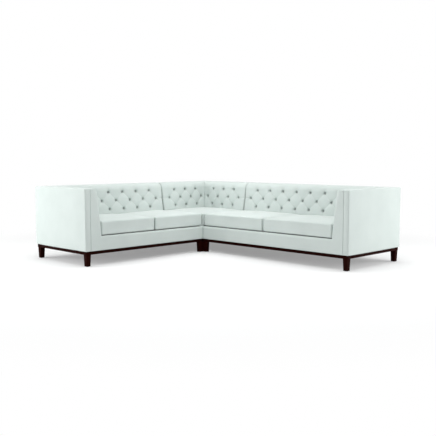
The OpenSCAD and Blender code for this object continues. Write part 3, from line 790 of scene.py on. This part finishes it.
def tufting():
    """Draws a pad's cover in at a diamond lattice of buttons and at its end seams, and marks where shade is
    painted in its wells and seams.
    """
    sizes = ("Pitch", "Row Step", "Middle Row", "First Button", "Last Button", "Top Fade", "Pleat Depth",
             "Button Depth", "Button Seat", "Button Spread", "Droop", "Fullness", "Unevenness", "Gathers",
             "First Seam", "Last Seam", "First Depth", "Last Depth")
    tree, given, result = recipe("diamond tufting", {**dict.fromkeys(sizes, "Float"), "Seed": "Int"})
    calc = functools.partial(calculate, tree)

    def product(*values):
        return functools.reduce(functools.partial(calc, "MULTIPLY"), values)

    along, height, from_first, from_last = (
        add(tree, "GeometryNodeInputNamedAttribute", {"Name": name}, data_type="FLOAT").outputs[0]
        for name in ("along", "height", "from_first", "from_last"))
    draw = add(tree, "GeometryNodeInputNamedAttribute", {"Name": "draw"},
               data_type="FLOAT_VECTOR").outputs[0]

    def ramp(value, start, end):
        """1 until a value reaches start, easing to 0 at end."""
        return add(tree, "ShaderNodeMapRange", {0: value, 1: start, 2: end, 3: 1.0, 4: 0.0},
                   interpolation_type="SMOOTHSTEP").outputs[0]

    # a and b count the lattice's two diagonals: both are whole numbers at a button.
    t = calc("DIVIDE", calc("SUBTRACT", along, given["First Button"]), given["Pitch"])
    rise = calc("SUBTRACT", height, given["Middle Row"])
    s = calc("MAXIMUM", calc("MINIMUM", calc("DIVIDE", rise, given["Row Step"]), 1.0), -1.0)
    a = calc("MULTIPLY_ADD", s, 0.5, t)
    b = calc("MULTIPLY_ADD", s, -0.5, t)
    beyond_rows = calc("SUBTRACT", rise, product(s, given["Row Step"]))
    beyond_ends = calc("MAXIMUM", calc("MAXIMUM", calc("SUBTRACT", given["First Button"], along),
                                       calc("SUBTRACT", along, given["Last Button"])), 0.0)

    # Each pillow is full towards its upper edges and slopes away to its lower ones.
    def flank(x):
        bent = product(calc("POWER", x, given["Droop"]), math.pi)
        return calc("POWER", calc("MAXIMUM", calc("SINE", bent), 0.0), given["Fullness"])

    pillow = product(flank(calc("FRACT", a)), flank(calc("SUBTRACT", 1.0, calc("FRACT", b))))
    which = calc("MULTIPLY_ADD", calc("FLOOR", a), 37.0, product(calc("FLOOR", b), 11.0))
    chance = add(tree, "FunctionNodeRandomValue", {2: -1.0, 3: 1.0, "ID": which, "Seed": given["Seed"]},
                 data_type="FLOAT").outputs[1]
    slack = product(chance, pillow, given["Unevenness"])
    valley = product(calc("SUBTRACT", 1.0, pillow), given["Pleat Depth"])
    fade_up = ramp(beyond_rows, 0.0, given["Top Fade"])
    fade_out = ramp(beyond_ends, 0.0, product(given["Pitch"], end_fade))
    pleats = product(calc("ADD", valley, slack), fade_up, fade_out)

    # From the last button of the middle row a level pleat runs to the end seam.
    level = product(calc("EXPONENT", product(calc("ABSOLUTE", rise), -level_narrowness)),
                    given["Pleat Depth"], calc("SUBTRACT", 1.0, ramp(beyond_ends, 0.0, level_fade)))
    folds = calc("MAXIMUM", pleats, product(level, level_share))

    # Round each button the cover is drawn down to a small flat seat and gathers in fine folds.
    off_a = calc("SUBTRACT", a, calc("ROUND", a))
    off_b = calc("SUBTRACT", b, calc("ROUND", b))
    aside = product(calc("ADD", off_a, off_b), 0.5, given["Pitch"])
    above = calc("MULTIPLY_ADD", calc("SUBTRACT", off_a, off_b), given["Row Step"], beyond_rows)
    away = calc("SQRT", calc("ADD", product(aside, aside), product(above, above)))
    rim = calc("MAXIMUM", calc("SUBTRACT", away, given["Button Seat"]), 0.0)
    bent_rim = calc("POWER", calc("DIVIDE", rim, given["Button Spread"]), dimple_bend)
    dimple = product(calc("EXPONENT", product(bent_rim, -1.0)), given["Button Depth"], fade_out)
    near = calc("EXPONENT", product(away, -gather_narrowness))
    wrinkle = calc("COSINE", product(calc("ARCTAN2", above, aside), gather_count))
    gathers = product(wrinkle, near, given["Gathers"], fade_out,
                      calc("GREATER_THAN", away, given["Button Seat"]))

    # At an end the cover rolls in to its seam, less so near the top.
    def roll(distance, width, drop):
        x = calc("MAXIMUM", calc("SUBTRACT", 1.0, calc("DIVIDE", distance, width)), 0.0)
        x = calc("MINIMUM", x, 1.0)
        left = calc("SQRT", calc("SUBTRACT", 1.0, product(x, x)))
        return product(calc("SUBTRACT", 1.0, left), drop)

    low_down = calc("MULTIPLY_ADD", ramp(rise, 0.0, seam_fade), 1 - seam_share_on_top, seam_share_on_top)
    seams = product(low_down, calc("ADD", roll(from_first, given["First Seam"], given["First Depth"]),
                                   roll(from_last, given["Last Seam"], given["Last Depth"])))
    depth = calc("ADD", calc("ADD", calc("ADD", folds, dimple), gathers), seams)
    drawn = add(tree, "ShaderNodeVectorMath", {0: draw, "Scale": product(depth, -1.0)},
                operation="SCALE").outputs[0]
    shaped = add(tree, "GeometryNodeSetPosition", {"Geometry": given["Geometry"], "Offset": drawn})

    # Painted shade: the cloth's colour is darkened deep in the wells round the buttons and in the deeper end
    # seams, for the shade of folds too fine to draw.
    painted_well_shade = product(calc("EXPONENT", calc("DIVIDE", rim, -well_shade_width)), fade_out)
    painted_seam_shade = product(low_down, calc("ADD", *(
        product(calc("EXPONENT", calc("DIVIDE", distance, -seam_shade_width)),
                calc("MINIMUM", calc("DIVIDE", given[depth_of], seam_depth_of_full_shade), 1.0))
        for distance, depth_of in ((from_first, "First Depth"), (from_last, "Last Depth")))))
    kept = add(tree, "GeometryNodeStoreNamedAttribute", {
        "Geometry": shaped.outputs[0], "Name": "hollow", "Value": calc("MAXIMUM", painted_well_shade, painted_seam_shade)})
    tree.links.new(kept.outputs[0], result["Geometry"])
    return tree


def pad_outline(low, high):
    """A pad's outline at one place along the back, as v, z, the way the cover faces there and its
    height above the floor measured over the cover. It is nowhere drawn in behind or below."""
    top = high[2]
    frame_top = top - frame_drop
    face = high[1] - leaning(top)
    rows = [(high[1] - leaning(z), z, 1, 0, z) for z in np.arange(low[2], top - top_drop, fold_step)]
    bends = math.ceil(top_drop * math.pi / 2 / fold_step)
    for k in range(bends + 1):
        q = math.pi / 2 * k / bends
        rows.append((face - top_round + top_round * math.cos(q), top - top_drop + top_drop * math.sin(q),
                     math.cos(q), math.sin(q), top - top_drop + top_drop * q))
    over = top - top_drop + top_drop * math.pi / 2
    width = face - top_round - back_edge
    for v in np.linspace(face - top_round, back_edge, math.ceil(width / top_step))[1:]:
        rows.append((v, top, 0, 1, over + face - top_round - v))
    for k in range(1, 5):
        q = math.pi / 8 * k
        rows.append((back_edge - back_edge * math.sin(q), top - back_edge + back_edge * math.cos(q),
                     -math.sin(q), math.cos(q), over + width))
    rows += [(0, top - lap, -1, 0, over + width), (panel_front, top - lap, 0, 0, over),
             (panel_front, frame_top, 0, 0, over), (frame_front, frame_top, 0, 0, over),
             (frame_front, low[2], 0, 0, over)]
    return np.array(rows)


def pad_places(start, end):
    """Shares of the way from one end of a pad to the other, close together at both seams."""
    length = end - start
    fine = np.array(end_steps)
    count = math.ceil((length - 2 * end_reach) / fold_step) + 1
    even = np.linspace(end_reach, length - end_reach, count)
    return np.concatenate([fine, even, length - fine[::-1]]) / length


def round_squares(number):
    """The squares of a tube, between points numbered in rings."""
    after = np.roll(number, -1, axis=1)
    return np.stack([number[:-1], after[:-1], after[1:], number[1:]], -1).reshape(-1, 4)


def remember(piece, key, values, kind="FLOAT", field="value"):
    """Keeps a value for each point of a piece, for its recipe or its cloth."""
    kept = piece.data.attributes.new(key, kind, "POINT")
    kept.data.foreach_set(field, np.ascontiguousarray(values, np.float32).ravel())


def back_pad(name, low, high, wing, mitred, sizes):
    v, z, face_v, face_z, height = pad_outline(low, high).T
    start = v if mitred else np.full(len(v), low[0])
    shares = pad_places(high[1] if mitred else low[0], high[0])
    u = start + (high[0] - start) * shares[:, None]
    rings, around = u.shape
    number = np.arange(rings * around).reshape(rings, around)
    pad = new_piece(name, in_row(listed(u, v, z), wing), [*round_squares(number), number[0], number[-1]])
    closing = np.exp(-(u - start) / end_closing) if mitred else np.zeros_like(u)
    faces = listed(closing * face_v, face_v, face_z)
    remember(pad, "along", u)
    remember(pad, "height", np.broadcast_to(height, u.shape))
    remember(pad, "from_first", u - start)
    remember(pad, "from_last", high[0] - u)
    remember(pad, "draw", in_row(faces, wing) - in_row(np.zeros((1, 3)), wing), "FLOAT_VECTOR", "vector")
    return follow(pad, diamond_tufting, sizes)


def button_places(node, wing):
    """First and last middle-row button of a stretch of back and how many gaps are between them,
    from the box of its buttons."""
    low, high = in_wing(node, wing)
    first, last = low[0] + button_radius, high[0] - button_radius
    return first, last, round((last - first) / usual_pitch)


usual_pitch = 0.19
middle_row = cad_high.z - row_drop - row_step
diamond_tufting = tufting()
wide_seam, thin_seam, arm_seam, crease = 0.014, 0.012, 0.009, 0.004
seam_depths = {wide_seam: 0.055, thin_seam: 0.040, arm_seam: 0.009, crease: 0.004}
stretches = (("corner_left", "left", "corner_module", True, crease, wide_seam),
             ("corner_right", "right", "corner_module", True, crease, thin_seam),
             ("right_wing", "right", "corner_module", False, thin_seam, arm_seam),
             ("left_wing", "left", "left_module", False, wide_seam, arm_seam))
for seed, (stretch, wing, body, mitred, first_seam, last_seam) in enumerate(stretches):
    low, high = in_wing(stretch + "_back_pad", wing)
    first, last, gaps = button_places(stretch + "_buttons", wing)
    pad = back_pad(stretch + "_tufted_pad", low, high, wing, mitred, {
        "Pitch": (last - first) / gaps, "Row Step": row_step, "Middle Row": middle_row, "First Button": first,
        "Last Button": last, "Top Fade": 0.075, "Pleat Depth": pleat_depth,
        "Button Depth": tuft_depth - pleat_depth, "Button Seat": 0.009, "Button Spread": 0.0065,
        "Droop": 1.25, "Fullness": 0.36, "Unevenness": 0.0015, "Gathers": 0.0016, "First Seam": first_seam,
        "Last Seam": last_seam, "First Depth": seam_depths[first_seam], "Last Depth": seam_depths[last_seam],
        "Seed": 7 + seed})
    dress(pad, cover_cloth, "cover_fabric", body, stretch + "_back_pad", fill=0.8)


# The buttons: metal shells covered with the same cloth, domed, and drawn tight into the pads with
# twine so that each sits in the bottom of its dimple.
button_sides = 20
button_profile = ((0.7, 0), (0.93, 0.08), (1, 0.27), (0.97, 0.48), (0.8, 0.76), (0.5, 0.94))
# Painted shade on each ring of a button, from its back to its crown: full at the back and rim, less towards
# the crown.
button_painted_shades = (1.0, 1.0, 1.0, 0.9, 0.7, 0.45)
button_rise, button_tilt = 0.001, 0.06


def covered_button(radius, thickness):
    """A domed button on its back face at the origin, facing +X, with its cloth turned under."""
    points = [(0, 0, 0), (thickness, 0, 0)]
    for wide, high in button_profile:
        for k in range(button_sides):
            turn = 2 * math.pi * k / button_sides
            points.append((thickness * high, radius * wide * math.cos(turn), radius * wide * math.sin(turn)))
    number = 2 + np.arange(len(points) - 2).reshape(-1, button_sides)
    after = np.roll(number, -1, axis=1)
    back = [(0, b, a) for a, b in zip(number[0], after[0])]
    crown = [(1, a, b) for a, b in zip(number[-1], after[-1])]
    button = new_piece("covered button", points, [*back, *round_squares(number), *crown])
    # Painted shade: the back's middle fully shaded, the crown's middle least, and each ring as listed above.
    remember(button, "hollow", [1.0, 0.35, *np.repeat(button_painted_shades, button_sides)])
    return button


def buttoning():
    """Sets a button on each point, turned a little so that no two are alike."""
    tree, given, result = recipe("buttons at points", {
        "Button": "Object", "Facing": "Float", "Rise": "Float", "Tilt": "Float", "Seed": "Int",
        "Material": "Material"})
    model = add(tree, "GeometryNodeObjectInfo", {"Object": given["Button"]},
                transform_space="ORIGINAL").outputs["Geometry"]
    less = calculate(tree, "MULTIPLY", given["Tilt"], -1.0)
    tilt = add(tree, "FunctionNodeRandomValue", {2: less, 3: given["Tilt"], "Seed": given["Seed"]},
               data_type="FLOAT").outputs[1]
    up = calculate(tree, "SUBTRACT", tilt, given["Rise"])
    turn = add(tree, "ShaderNodeCombineXYZ", {"X": tilt, "Y": up, "Z": given["Facing"]}).outputs[0]
    return place_copies(tree, given, result, given["Geometry"], model, turn)


button_recipe = buttoning()
for seed, (stretch, wing, body, *_) in enumerate(stretches):
    first, last, gaps = button_places(stretch + "_buttons", wing)
    pitch = (last - first) / gaps
    foot = in_wing(stretch + "_back_pad", wing)[1][1]
    spots = []
    for row, shift, count in ((0, 0, gaps + 1), (-1, 0.5, gaps), (1, 0.5, gaps)):
        height = middle_row + row * row_step
        seat = foot - leaning(height) - tuft_depth + button_rise
        spots += [(first + (i + shift) * pitch, seat, height) for i in range(count)]
    buttons = object_of(stretch + "_covered_buttons", in_row(spots, wing))
    model = covered_button(button_radius, button_thickness)
    facing = -math.pi / 2 if wing == "right" else 0.0
    follow(buttons, button_recipe, {"Button": model, "Facing": facing, "Rise": back_lean,
                                    "Tilt": button_tilt, "Seed": seed, "Material": cover_cloth})
    bpy.data.objects.remove(model)
    buttons.data.shade_smooth()
    dress(buttons, cover_cloth, "cover_fabric", body, stretch + "_buttons")


# The seat decks: thin felt over the webbing under a plain deck cloth, which is all that shows when
# a cushion is lifted off.
deck_cloth = woven_cover("plain deck cloth", (0.085, 0.088, 0.086), (0.125, 0.128, 0.126), 0.0012, 0.05)
deck_edge = 0.016
deck_fullness = -0.0005
for seed, (module, wing) in enumerate(modules):
    node = module + "_deck"
    low, high = in_wing(node, wing)
    deck = upholstered_board(node + "_cloth", low, high, wing, deck_edge, deck_fullness, 30 + seed, step=0.03)
    dress(deck, deck_cloth, "deck_cloth", module + "_module", node, fill=0.9)


# The seat cushions: five loose boxed cushions of foam in a sewn cover, crowned on top, with a seam
# round the top and bottom edges of their sides.
corner_round = 0.018
upper_round = 0.013
lower_round = 0.012
crown_rise = 0.022
crown_squareness = 2.6
side_pull = 0.004
cushion_step = 0.018
swell_room = 0.003
swell_cap = 0.005
swell_frames = 20
seam_depth, seam_width = 0.0018, 0.0028
filling = {"quality": 6, "mass": 0.4, "tension_stiffness": 18, "compression_stiffness": 18,
           "bending_stiffness": 1.2, "use_pressure": True, "uniform_pressure_force": 4}


def cushion_shape(name, low, high, wing):
    """A boxed, crowned cushion, a little small, with each point's distance from both seams."""
    box_high = high - (swell_room, swell_room, crown_rise)
    box_low = low + (swell_room, swell_room, 0)
    first = np.array([corner_round, corner_round, lower_round])
    last = np.array([corner_round, corner_round, upper_round])
    sides = [stations(*ends, cushion_step) for ends in zip(box_low, box_high, first, last)]
    skin, squares = box_skin(sides)
    points, out = rounded(skin, box_low, box_high, first, last)
    middle = (box_low + box_high) / 2
    share = 1 - np.abs((points - middle) / (box_high - middle)).clip(0, 1) ** crown_squareness
    level = ((points[:, 2] - box_low[2]) / (box_high[2] - box_low[2])).clip(0, 1)
    points[:, 2] += crown_rise * share[:, 0] * share[:, 1] * level ** 2
    pull = side_pull * np.sin(np.pi * level)
    for axis, other in ((0, 1), (1, 0)):
        points[:, axis] -= out[:, axis] * pull * share[:, other]
    cushion = new_piece(name, in_row(points, wing), squares)
    edge = np.min([skin[:, 0] - box_low[0], box_high[0] - skin[:, 0],
                   skin[:, 1] - box_low[1], box_high[1] - skin[:, 1]], axis=0)
    for key, flat in (("top_seam", box_high[2]), ("bottom_seam", box_low[2])):
        below = np.abs(skin[:, 2] - flat)
        remember(cushion, key, np.where(below < 1e-6, edge, below))
    return cushion


def swell(piece):
    """Blows the cover up like a filled case and keeps the result within a cap."""
    rest = vertices_of(piece)
    cloth = piece.modifiers.new("cloth", "CLOTH")
    for setting, value in filling.items():
        setattr(cloth.settings, setting, value)
    cloth.settings.effector_weights.gravity = 0
    cloth.collision_settings.use_collision = False
    cloth.point_cache.frame_start = 1
    cloth.point_cache.frame_end = swell_frames
    for moment in range(1, swell_frames + 1):
        bpy.context.scene.frame_set(moment)
    baked(piece)
    bpy.context.scene.frame_set(1)
    moved = vertices_of(piece) - rest
    size = np.linalg.norm(moved, axis=1, keepdims=True).clip(1e-9)
    move_to(piece, rest + moved / size * swell_cap * np.tanh(size / swell_cap))


def sewn(piece):
    """Draws the cover in along its two seams."""
    mesh = piece.data
    points = vertices_of(piece)
    normals = np.empty(len(points) * 3)
    mesh.vertices.foreach_get("normal", normals)
    inward = np.zeros(len(points))
    for key in ("top_seam", "bottom_seam"):
        distance = np.empty(len(points))
        mesh.attributes[key].data.foreach_get("value", distance)
        inward += seam_depth * np.exp(-(distance / seam_width) ** 2)
    move_to(piece, points - normals.reshape(-1, 3) * inward[:, None])


cushions = (("corner_seat_cushion", "right"), ("right_inner_cushion", "right"),
            ("right_outer_cushion", "right"), ("left_inner_cushion", "left"),
            ("left_outer_cushion", "left"))
cushion_cloth = woven_cover("pale cushion cover", pale_dark, pale_light, pale_thread, pale_sheen)
for node, wing in cushions:
    low, high = in_wing(node, wing)
    cushion = cushion_shape(node + "_cover", low, high, wing)
    swell(cushion)
    finer = cushion.modifiers.new("finer", "SUBSURF")
    finer.levels = finer.render_levels = 2
    baked(cushion)
    sewn(cushion)
    box_low, box_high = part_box(node)
    move_to(cushion, vertices_of(cushion).clip(np.array(box_low), np.array(box_high)))
    cushion.data.shade_smooth()
    dress(cushion, cushion_cloth, "cushion_fabric", node + "_body", node, fill=0.85)

low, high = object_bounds()
